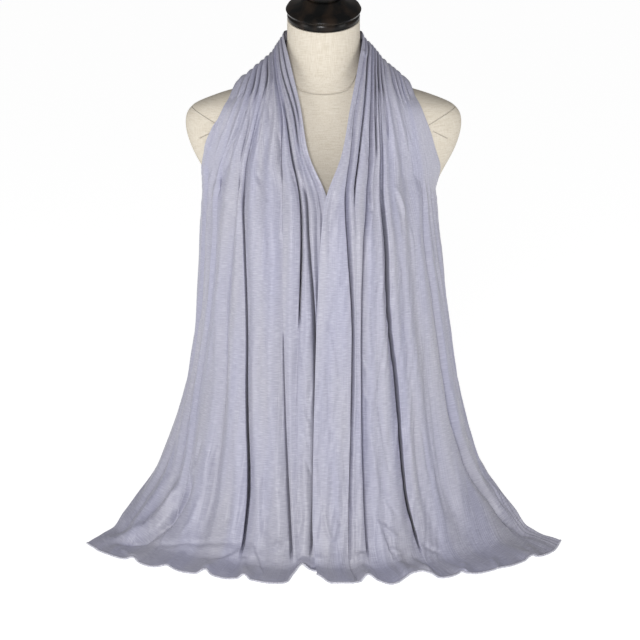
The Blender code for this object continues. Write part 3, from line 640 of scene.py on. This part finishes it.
def grid_mesh(name, points, flat_u, flat_v, flip, spare=(0, 0)):
    """A mesh through a grid of points, with UVs in metres of flat cloth. Spare
    rows at its start and end only turn the normals beside them."""
    normals = grid_normals(points, flip)
    kept = slice(spare[0], len(points) - spare[1])
    points, normals, flat_u, flat_v = (grid[kept] for grid in (points, normals, flat_u, flat_v))
    count, across = points.shape[:2]
    mesh = bpy.data.meshes.new(name)
    index = np.arange(count * across).reshape(count, across)
    corners = (index[:-1, :-1], index[:-1, 1:], index[1:, 1:], index[1:, :-1])
    if flip:
        corners = corners[::-1]
    faces = np.stack(corners, -1).reshape(-1, 4)
    mesh.from_pydata((points.reshape(-1, 3) * MM).tolist(), [], faces.tolist())
    layer = mesh.uv_layers.new(name="cloth")
    u, v = flat_u.reshape(-1)[faces.reshape(-1)], flat_v.reshape(-1)[faces.reshape(-1)]
    layer.data.foreach_set("uv", np.stack((u, v), 1).reshape(-1))
    mesh.shade_smooth()
    mesh.normals_split_custom_set_from_vertices(normals.reshape(-1, 3).tolist())
    return mesh


TUBE_STEP = 1.6
TUBE_SIDES = 8


def tube_mesh(name, line, radius, sides=TUBE_SIDES):
    """A thin round tube along a line of points, in millimetres."""
    steps = np.concatenate(([0.0], np.cumsum(np.linalg.norm(np.diff(line, axis=0), axis=1))))
    places = np.linspace(0.0, steps[-1], int(steps[-1] / TUBE_STEP))
    line = np.stack([np.interp(places, steps, line[:, k]) for k in range(3)], 1)
    way = unit(np.gradient(line, axis=0))
    level = unit(np.cross(way, (0.0, 0.0, 1.0)))
    rise = np.cross(level, way)
    angle = np.arange(sides) * 2 * math.pi / sides
    ring = level[:, None] * np.cos(angle)[:, None] + rise[:, None] * np.sin(angle)[:, None]
    points = (line[:, None] + ring * radius).reshape(-1, 3) * MM
    index = np.arange(len(line) * sides).reshape(len(line), sides)
    beside = np.roll(index, -1, axis=1)
    faces = np.stack((index[:-1], beside[:-1], beside[1:], index[1:]), -1).reshape(-1, 4)
    caps = [tuple(index[0][::-1]), tuple(index[-1])]
    mesh = bpy.data.meshes.new(name)
    mesh.from_pydata(points.tolist(), [], faces.tolist() + [tuple(int(i) for i in c) for c in caps])
    mesh.shade_smooth()
    return mesh


def add_piece(name, mesh, paint, slot, *nodes):
    made = bpy.data.objects.new(name, mesh)
    bpy.context.scene.collection.objects.link(made)
    made.data.materials.append(paint)
    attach(made, BODY)
    if nodes:
        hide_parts(*nodes)
    return made


def stepped_runs(start):
    runs = [start]
    for end, step in ROW_STEPS:
        if end > runs[-1]:
            count = max(1, int(round((end - runs[-1]) / step)))
            first = runs[-1]
            runs += [first + (end - first) * (i + 1) / count for i in range(count)]
    return np.array(runs)


# The dress form: half widths, depths to the front and back, and heights in mm
Section = namedtuple("Section", "name height width front back middle tilt power")
NECK_TOP = 724.0
NECK_TILT = 19.0
FORM_SECTIONS = (
    Section("base", 0, 158, 104, 104, 8, 0, 2.3),
    Section("hip", 95, 165, 108, 108, 8, 0, 2.3),
    Section("high_hip", 185, 148, 98, 98, 7, 0, 2.25),
    Section("waist", 285, 116, 84, 80, 4, 0, 2.2),
    Section("rib", 360, 125, 92, 84, 2, 0, 2.2),
    Section("bust", 435, 142, 104, 94, 0, 0, 2.15),
    Section("armhole", 500, 159, 94, 96, 2, 0, 2.1),
    Section("arm_plate", 550, 184, 80, 92, 4, 0, 2),
    Section("shoulder_tip", 585, 191, 72, 84, 5, 0, 2),
    Section("shoulder", 606, 180, 66, 78, 5, 0, 2),
    Section("shoulder_top", 620, 148, 61, 72, 5, 0, 2),
    Section("trapezius", 632, 108, 57, 67, 5, 1, 2),
    Section("neck_root", 645, 74, 53, 62, 4, 4, 2),
    Section("neck_low", 662, 55, 50, 55, 3, 8, 2),
    Section("neck", 690, 50.5, 49, 50, 1, 14, 2),
    Section("neck_top", NECK_TOP, 49.5, 49.5, 49.5, 0, NECK_TILT, 2),
)
FORM_RINGS = 150
FORM_SPOKES = 144
RING_SHARES = (0.0, 0.2, 0.5, 0.85, 1.0)
RING_HEIGHTS = (0.0, 250.0, 530.0, 665.0, NECK_TOP)
FORM_SHARP = math.radians(50)
TURNED_SHARP = math.radians(40)


def form_points():
    """Rings of points round the form, closer where it curves more."""
    shares = np.linspace(0.0, 1.0, FORM_RINGS)
    heights = smooth_through(RING_SHARES, RING_HEIGHTS, shares)
    known = [s.height for s in FORM_SECTIONS]
    size = {}
    for key in ("width", "front", "back", "middle", "tilt", "power"):
        values = [getattr(s, key) for s in FORM_SECTIONS]
        size[key] = smooth_through(known, values, heights)[:, None]
    angle = (np.arange(FORM_SPOKES) * 2 * math.pi / FORM_SPOKES)[None, :]
    across, along = np.cos(angle), np.sin(angle)
    depth = np.where(along > 0, size["back"], size["front"])
    x = size["width"] * np.sign(across) * np.abs(across) ** (2 / size["power"])
    y = depth * np.sign(along) * np.abs(along) ** (2 / size["power"])
    tilt = np.radians(size["tilt"])
    z = heights[:, None] + y * np.sin(tilt)
    return np.stack((x, size["middle"] + y * np.cos(tilt), z), -1)


def form_mesh():
    points = form_points()
    mesh = bmesh.new()
    grid = [[mesh.verts.new(Vector(p * MM)) for p in ring] for ring in points]
    for low, high in zip(grid, grid[1:]):
        for i in range(FORM_SPOKES):
            j = (i + 1) % FORM_SPOKES
            mesh.faces.new((low[i], low[j], high[j], high[i]))
    mesh.faces.new(tuple(reversed(grid[0])))
    mesh.faces.new(tuple(grid[-1]))
    made = bpy.data.meshes.new("torso")
    mesh.to_mesh(made)
    mesh.free()
    made.shade_smooth()
    made.set_sharp_from_angle(angle=FORM_SHARP)
    return made


def turned_mesh(name, profile, lift, steps=96):
    """A turned solid on the neck's leaning axis, through a smoothed profile."""
    tilt = math.radians(NECK_TILT)
    turn = Matrix.Rotation(tilt, 4, "X")
    up = Vector((0.0, -math.sin(tilt), math.cos(tilt)))
    place = Matrix.Translation(Vector((0.0, 0.0, NECK_TOP * MM)) + up * lift * MM)
    mesh = bmesh.new()
    rings = []
    for radius, height in profile:
        if radius == 0.0:
            rings.append([mesh.verts.new((0.0, 0.0, height * MM))])
            continue
        ring = []
        for i in range(steps):
            angle = 2 * math.pi * i / steps
            ring.append(mesh.verts.new((radius * MM * math.cos(angle),
                                        radius * MM * math.sin(angle), height * MM)))
        rings.append(ring)
    for high, low in zip(rings, rings[1:]):
        for i in range(steps):
            j = (i + 1) % steps
            if len(high) == 1:
                mesh.faces.new((high[0], low[i], low[j]))
            elif len(low) == 1:
                mesh.faces.new((high[i], low[0], high[j]))
            else:
                mesh.faces.new((high[i], low[i], low[j], high[j]))
    bmesh.ops.transform(mesh, matrix=place @ turn, verts=mesh.verts)
    bmesh.ops.recalc_face_normals(mesh, faces=mesh.faces)
    made = bpy.data.meshes.new(name)
    mesh.to_mesh(made)
    mesh.free()
    made.shade_smooth()
    made.set_sharp_from_angle(angle=TURNED_SHARP)
    return made


CAP_GAP = 0.3
CAP_PROFILE = (
    (0, 31), (24, 31), (27, 30), (31, 26), (37, 21.5), (45, 19.5),
    (49.5, 17.5), (51.5, 14), (50, 10.5), (48, 9), (49.5, 6.5), (49.8, 3.5),
    (48, 0), (0, 0),
)
FINIAL_PROFILE = (
    (0, 62), (8, 61), (15, 57), (20, 50), (21.5, 42), (19, 33),
    (14.5, 26), (13, 20), (15, 13), (17, 9.5), (21.5, 9), (24.5, 7),
    (25, 4), (24, 1), (22, 0), (0, 0),
)


def node(tree, kind, **settings):
    made = tree.nodes.new("ShaderNode" + kind)
    for key, value in settings.items():
        setattr(made, key, value)
    return made


def fresh_material(name, colour, roughness):
    made = bpy.data.materials.new(name)
    made.use_nodes = True
    shader = made.node_tree.nodes["Principled BSDF"]
    shader.inputs["Base Color"].default_value = (*colour, 1.0)
    shader.inputs["Roughness"].default_value = roughness
    return made, made.node_tree, shader


def set_inputs(shader, **values):
    """Set inputs of a shader, whose names are given with underscores."""
    for key, value in values.items():
        shader.inputs[key.replace("_", " ")].default_value = value


def finish_surface(tree, shader, colour, normal=None):
    tree.links.new(colour, shader.inputs["Base Color"])
    if normal is not None:
        tree.links.new(normal, shader.inputs["Normal"])


def stretched_noise(tree, source, scale, detail, turn=0.0):
    mapping = node(tree, "Mapping")
    mapping.inputs["Scale"].default_value = (scale[0], scale[1], scale[-1])
    mapping.inputs["Rotation"].default_value = (0.0, 0.0, math.radians(turn))
    tree.links.new(source, mapping.inputs["Vector"])
    noise = node(tree, "TexNoise")
    noise.inputs["Scale"].default_value = 1.0
    noise.inputs["Detail"].default_value = detail
    tree.links.new(mapping.outputs["Vector"], noise.inputs["Vector"])
    return noise.outputs["Fac"]


def bump(tree, height, distance, strength, under=None):
    made = node(tree, "Bump")
    made.inputs["Distance"].default_value = distance
    made.inputs["Strength"].default_value = strength
    tree.links.new(height, made.inputs["Height"])
    if under is not None:
        tree.links.new(under, made.inputs["Normal"])
    return made.outputs["Normal"]


def ramp(tree, fac, stops):
    made = node(tree, "ValToRGB")
    elements = made.color_ramp.elements
    while len(elements) < len(stops):
        elements.new(0.5)
    for element, (place, colour) in zip(elements, stops):
        element.position = place
        element.color = (*colour, 1.0)
    tree.links.new(fac, made.inputs["Fac"])
    return made.outputs["Color"]


def mix(tree, fac, one, two, blend="MIX"):
    made = node(tree, "Mix", data_type="RGBA", blend_type=blend)
    sockets = {s.identifier: s for s in made.inputs}
    for value, key in ((fac, "Factor_Float"), (one, "A_Color"), (two, "B_Color")):
        if isinstance(value, bpy.types.NodeSocket):
            tree.links.new(value, sockets[key])
        else:
            sockets[key].default_value = value
    return next(s for s in made.outputs if s.identifier == "Result_Color")


def math_node(tree, operation, one, two=0.0, clamp=False):
    made = node(tree, "Math", operation=operation, use_clamp=clamp)
    for value, socket in ((one, made.inputs[0]), (two, made.inputs[1])):
        if isinstance(value, bpy.types.NodeSocket):
            tree.links.new(value, socket)
        else:
            socket.default_value = value
    return made.outputs["Value"]


# Jersey: tones, noise scales across and along the cloth, per metre, and the
# height and strength of each noise as a bump
SLUB_TONES = ((0.30, (0.335, 0.335, 0.428)), (0.50, (0.395, 0.397, 0.492)),
              (0.72, (0.500, 0.505, 0.590)))
PATCH_TONES = ((0.35, (0.93, 0.93, 0.97)), (0.65, (1.0, 0.99, 0.95)))
SLUB_SCALE = (55.0, 900.0, 1.0)
PATCH_SCALE = (18.0, 3.5, 1.0)
WRINKLE_SCALE = (210.0, 11.0, 1.0)
KNIT_SCALE = (500.0, 1500.0, 1.0)
GRAIN_TURN = 4.0
WRINKLE_BUMP = (0.9 * MM, 0.8)
SLUB_BUMP = (0.3 * MM, 0.7)
KNIT_BUMP = (0.2 * MM, 0.5)


def jersey_material():
    made, tree, shader = fresh_material("jersey", (0.46, 0.46, 0.56), 0.42)
    uv = node(tree, "UVMap", uv_map="cloth").outputs["UV"]
    slub = stretched_noise(tree, uv, SLUB_SCALE, 3.0)
    patches = stretched_noise(tree, uv, PATCH_SCALE, 1.0, GRAIN_TURN)
    tone = ramp(tree, patches, PATCH_TONES)
    colour = mix(tree, 1.0, ramp(tree, slub, SLUB_TONES), tone, "MULTIPLY")
    wrinkle = stretched_noise(tree, uv, WRINKLE_SCALE, 2.5, GRAIN_TURN)
    knit = stretched_noise(tree, uv, KNIT_SCALE, 1.0)
    normal = bump(tree, wrinkle, *WRINKLE_BUMP)
    normal = bump(tree, slub, *SLUB_BUMP, normal)
    normal = bump(tree, knit, *KNIT_BUMP, normal)
    finish_surface(tree, shader, colour, normal)
    set_inputs(shader, Specular_IOR_Level=0.6, Sheen_Weight=0.15, Sheen_Roughness=0.4)
    return made


THREAD_TONES = ((0.35, (0.36, 0.36, 0.43)), (0.65, (0.64, 0.64, 0.70)))
THREAD_SCALE = (700.0, 700.0, 400.0)
THREAD_BUMP = (0.6 * MM, 0.8)


def thread_material():
    made, tree, shader = fresh_material("hem_thread", (0.60, 0.60, 0.68), 0.6)
    coords = node(tree, "TexCoord").outputs["Object"]
    turns = stretched_noise(tree, coords, THREAD_SCALE, 2.0)
    colour = ramp(tree, turns, THREAD_TONES)
    finish_surface(tree, shader, colour, bump(tree, turns, *THREAD_BUMP))
    return made


def seam_mask(tree, parts, plane, half):
    """1 along the line where the weighed sum of the parts is zero."""
    total = plane[3]
    for part, weight in zip(parts, plane[:3]):
        total = math_node(tree, "ADD", math_node(tree, "MULTIPLY", part, weight), total)
    off = math_node(tree, "DIVIDE", math_node(tree, "ABSOLUTE", total), half)
    return math_node(tree, "SUBTRACT", 1.0, off, True)


# The form's seams, in metres. Each is where a sum of weights and an offset is
# zero, between a low and a high limit. The neck's seam weighs the depth, its
# square and the height, and the others the place itself.
SEAM_HALF = 0.0009
SEAM_TONE = (0.36, 0.30, 0.22, 1.0)
SEAM_SHADE = 0.20
SEAM_BUMP = (1.2 * MM, 0.9)
NECK_SEAM_DEPTH = 0.0533
NECK_SEAM = (-1.2, 8.0, 1.0, -0.6274)
SHOULDER_SEAM = (-0.52, 0.0, 1.0, -0.5096)
SHOULDER_SPAN = (0.143, 0.186)
STUB_SEAM = (0.57, 0.0, 1.0, -0.6608)
STUB_SPAN = (0.149, 0.170)
MIDDLE_BACK_SEAM = (1.0, 0.0, 0.0, 0.0)
SIDE_BACK_SEAM = (1.0, 0.0, 0.08, -0.125)
BACK_SPAN = (-1.0, 0.60)
LINEN_TONES = ((0.36, (0.56, 0.50, 0.40)), (0.5, (0.655, 0.60, 0.505)), (0.66, (0.72, 0.675, 0.59)))
WARP_SCALE = (1600.0, 1600.0, 90.0)
WEFT_SCALE = (90.0, 90.0, 1600.0)
LINEN_BUMP = (0.4 * MM, 0.6)


def linen_material():
    made, tree, shader = fresh_material("form_linen", (0.72, 0.64, 0.52), 0.8)
    coords = node(tree, "TexCoord").outputs["Object"]
    warp = stretched_noise(tree, coords, WARP_SCALE, 2.0)
    weft = stretched_noise(tree, coords, WEFT_SCALE, 2.0)
    half = math_node(tree, "MULTIPLY", math_node(tree, "ADD", warp, weft), 0.5)
    colour = ramp(tree, half, LINEN_TONES)
    split = node(tree, "SeparateXYZ")
    tree.links.new(coords, split.inputs[0])
    x, y, z = split.outputs
    wide = math_node(tree, "ABSOLUTE", x)
    behind = math_node(tree, "GREATER_THAN", y, 0.0)
    ahead = math_node(tree, "SUBTRACT", 1.0, behind)
    shift = math_node(tree, "ADD", y, NECK_SEAM_DEPTH)
    square = math_node(tree, "MULTIPLY", shift, shift)
    seams = seam_mask(tree, (shift, square, z), NECK_SEAM, SEAM_HALF)
    for parts, plane, (low, high), limit, gate in (
            ((wide, y, z), SHOULDER_SEAM, SHOULDER_SPAN, wide, ahead),
            ((wide, y, z), STUB_SEAM, STUB_SPAN, wide, ahead),
            ((x, y, z), MIDDLE_BACK_SEAM, BACK_SPAN, z, behind),
            ((wide, y, z), SIDE_BACK_SEAM, BACK_SPAN, z, behind)):
        line = seam_mask(tree, parts, plane, SEAM_HALF)
        inside = math_node(tree, "MULTIPLY", math_node(tree, "GREATER_THAN", limit, low),
                           math_node(tree, "LESS_THAN", limit, high))
        line = math_node(tree, "MULTIPLY", line, math_node(tree, "MULTIPLY", inside, gate))
        seams = math_node(tree, "MAXIMUM", seams, line)
    shade = math_node(tree, "MULTIPLY", seams, SEAM_SHADE)
    colour = mix(tree, shade, colour, SEAM_TONE)
    normal = bump(tree, half, *LINEN_BUMP)
    normal = bump(tree, math_node(tree, "MULTIPLY", seams, -1.0), *SEAM_BUMP, normal)
    finish_surface(tree, shader, colour, normal)
    set_inputs(shader, Specular_IOR_Level=0.2)
    return made


WOOD_TONES = ((0.4, (0.006, 0.006, 0.006)), (0.8, (0.030, 0.020, 0.014)))
WOOD_SCALE = (60.0, 60.0, 14.0)


def wood_material():
    made, tree, shader = fresh_material("black_wood", (0.012, 0.011, 0.010), 0.25)
    coords = node(tree, "TexCoord").outputs["Object"]
    grain = stretched_noise(tree, coords, WOOD_SCALE, 4.0)
    finish_surface(tree, shader, ramp(tree, grain, WOOD_TONES))
    set_inputs(shader, Specular_IOR_Level=0.12, Coat_Weight=0.06, Coat_Roughness=0.12)
    return made


linen = linen_material()
black_wood = wood_material()
jersey = jersey_material()
thread = thread_material()

torso_shape = form_mesh()
form_tree = BVHTree.FromPolygons([v.co.copy() for v in torso_shape.vertices],
                                 [tuple(p.vertices) for p in torso_shape.polygons])
add_piece("torso_linen", torso_shape, linen, "form_linen", "form_torso")
cap_mesh = turned_mesh("cap", CAP_PROFILE, CAP_GAP)
add_piece("cap_turned", cap_mesh, black_wood, "black_wood", "neck_cap")
finial_lift = CAP_GAP + CAP_PROFILE[0][1] + CAP_GAP
finial_mesh = turned_mesh("knob", FINIAL_PROFILE, finial_lift)
add_piece("finial_turned", finial_mesh, black_wood, "black_wood", "finial")


LEFT = (LEFT_ROWS, LEFT_PATHS, LEFT_CUTS, LEFT_HEM, -1)
RIGHT = (RIGHT_ROWS, RIGHT_PATHS, RIGHT_CUTS, RIGHT_HEM, 1)


def build_end(name, tables, target):
    """One hanging end of the cloth, and the thin rolled hem along its edge."""
    side = tables[-1]
    runs = np.concatenate(([SEAM_RUN - SPARE_BEFORE_END], stepped_runs(SEAM_RUN)))
    points, share = cloth_points(*tables, runs)
    settle(points.reshape(-1, 3))
    flat_u = share / 100.0 * SHOWN_WIDTH
    flat_v = np.repeat(runs[:, None], share.shape[1], 1) * MM * side
    mesh = grid_mesh(name, points, flat_u, flat_v, side < 0, (1, 0))
    made = add_piece(name, mesh, jersey, "jersey", target)
    line = points[-1].copy()
    line[:, 2] = np.maximum(line[:, 2], HEM_RADIUS + HEM_CLEAR)
    hem_made = add_piece(name + "_hem", tube_mesh(name + "_hem", line, HEM_RADIUS), thread, "jersey")
    return made, hem_made


def build_nape():
    """The stretch behind the neck: the left half, then the right one."""
    runs = np.concatenate((np.linspace(0.0, SEAM_RUN, NAPE_STEPS), [SEAM_RUN + SPARE_AFTER_NAPE]))
    left, share = cloth_points(*LEFT, runs)
    right, share_right = cloth_points(*RIGHT, runs)
    points = np.concatenate((left[::-1], right[1:]))
    settle(points.reshape(-1, 3))
    flat_u = np.concatenate((share[::-1], share_right[1:])) / 100.0 * SHOWN_WIDTH
    along = np.concatenate((-runs[::-1], runs[1:])) * MM
    flat_v = np.repeat(along[:, None], share.shape[1], 1)
    mesh = grid_mesh("jersey_nape", points, flat_u, flat_v, False, (1, 1))
    return add_piece("jersey_nape", mesh, jersey, "jersey", "scarf_nape")


left_end, left_hem = build_end("jersey_left_end", LEFT, "scarf_end_left")
right_end, right_hem = build_end("jersey_right_end", RIGHT, "scarf_end_right")
nape = build_nape()

floor = bpy.data.objects.new("floor", bpy.data.meshes.new("floor"))
TABLE_HALF = 60
TABLE_GLOW = 0.92
corners = [(x * TABLE_HALF, y * TABLE_HALF, 0) for x, y in ((-1, -1), (1, -1), (1, 1), (-1, 1))]
floor.data.from_pydata(corners, [], [(0, 1, 2, 3)])
bpy.context.scene.collection.objects.link(floor)
white, _tree, white_shader = fresh_material("white_table", (0.3, 0.3, 0.3), 0.8)
set_inputs(white_shader, Emission_Color=(1.0, 1.0, 1.0, 1.0), Emission_Strength=TABLE_GLOW)
floor.data.materials.append(white)

PIXEL = 1.38 * MM
DISTANCE = 2.4
CAMERA_HEIGHT = 0.92
AIM_HEIGHT = 0.33
AIM_DEPTH = -0.12
SENSOR = 36.0
PICTURE = 640


def add_camera():
    made = bpy.data.cameras.new("view")
    camera = bpy.data.objects.new("view", made)
    bpy.context.scene.collection.objects.link(camera)
    pitch = math.atan2(CAMERA_HEIGHT - AIM_HEIGHT, DISTANCE + AIM_DEPTH)
    camera.location = (-3.5 * PIXEL, -DISTANCE, CAMERA_HEIGHT)
    camera.rotation_euler = (math.pi / 2 - pitch, 0.0, 0.0)
    made.sensor_width = SENSOR
    made.lens = SENSOR * (DISTANCE / PIXEL) / PICTURE
    bpy.context.scene.camera = camera


# Lights: places and sizes in metres, power in watts
Light = namedtuple("Light", "name place size power colour")
LIGHTS = (
    Light("front", (-0.4, -3.4, 1.5), (0.8, 0.7), 66.0, (1.0, 0.99, 1.0)),
    Light("left", (-2.2, -1.4, 0.9), (1.0, 1.2), 12.0, (1.0, 0.99, 0.97)),
    Light("right", (2.2, -1.4, 0.9), (1.0, 1.2), 11.0, (1.0, 0.99, 0.97)),
)
LIGHT_AIM = (0.0, 0.0, 0.35)
WORLD_LIGHT = 0.17


def add_area(name, place, size, power, colour):
    light = bpy.data.lights.new(name, "AREA")
    light.shape = "RECTANGLE"
    light.size, light.size_y = size
    light.energy = power
    light.color = colour
    made = bpy.data.objects.new(name, light)
    bpy.context.scene.collection.objects.link(made)
    made.location = place
    made.rotation_euler = (Vector(LIGHT_AIM) - Vector(place)).to_track_quat("-Z", "Y").to_euler()


def add_lights():
    for light in LIGHTS:
        add_area(*light)
    world = bpy.data.worlds.new("studio")
    world.use_nodes = True
    back = world.node_tree.nodes["Background"]
    back.inputs["Color"].default_value = (1.0, 1.0, 1.0, 1.0)
    back.inputs["Strength"].default_value = WORLD_LIGHT
    bpy.context.scene.world = world


add_camera()
add_lights()
bpy.context.scene.view_settings.view_transform = "Standard"
